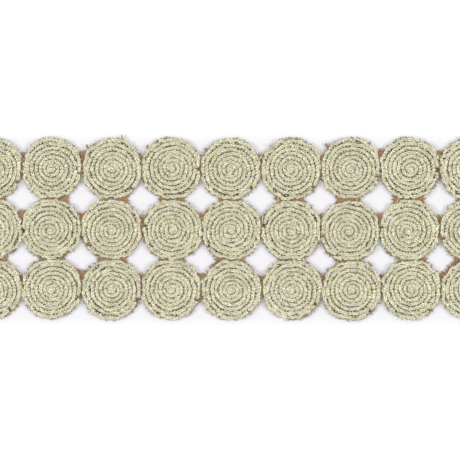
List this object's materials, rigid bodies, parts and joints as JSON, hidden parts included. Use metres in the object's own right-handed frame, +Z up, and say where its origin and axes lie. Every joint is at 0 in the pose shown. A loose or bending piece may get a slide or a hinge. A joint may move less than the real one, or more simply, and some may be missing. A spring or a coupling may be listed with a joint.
{
  "type": "metallic trim",
  "caption": "Flat scalloped trim: round discs of chain-stitched metallic yarn on a strip of ground cloth with diamond-shaped holes, for edging or decorating garments.",
  "frame": {"origin": "centre of the bounding box's underside: under the middle disc, at the underside of the ground cloth", "axes": "+X along the trim, +Y across it towards its upper edge in the picture, +Z up out of the embroidered face"},
  "size_m": [0.2031, 0.069, 0.0026],
  "materials": {
    "metallic_yarn": "pale gold metallic yarn, softly glittering",
    "ground_cloth": "brown organza, slightly lustrous"
  },
  "bodies": {
    "root": {"ground_cloth": "ground_cloth", "disc_top_1": "metallic_yarn", "disc_top_2": "metallic_yarn", "disc_top_3": "metallic_yarn", "disc_top_4": "metallic_yarn", "disc_top_5": "metallic_yarn", "disc_top_6": "metallic_yarn", "disc_top_7": "metallic_yarn", "disc_top_8": "metallic_yarn", "disc_top_9": "metallic_yarn", "disc_middle_1": "metallic_yarn", "disc_middle_2": "metallic_yarn", "disc_middle_3": "metallic_yarn", "disc_middle_4": "metallic_yarn", "disc_middle_5": "metallic_yarn", "disc_middle_6": "metallic_yarn", "disc_middle_7": "metallic_yarn", "disc_middle_8": "metallic_yarn", "disc_middle_9": "metallic_yarn", "disc_bottom_1": "metallic_yarn", "disc_bottom_2": "metallic_yarn", "disc_bottom_3": "metallic_yarn", "disc_bottom_4": "metallic_yarn", "disc_bottom_5": "metallic_yarn", "disc_bottom_6": "metallic_yarn", "disc_bottom_7": "metallic_yarn", "disc_bottom_8": "metallic_yarn", "disc_bottom_9": "metallic_yarn"}
  },
  "joints": []
}
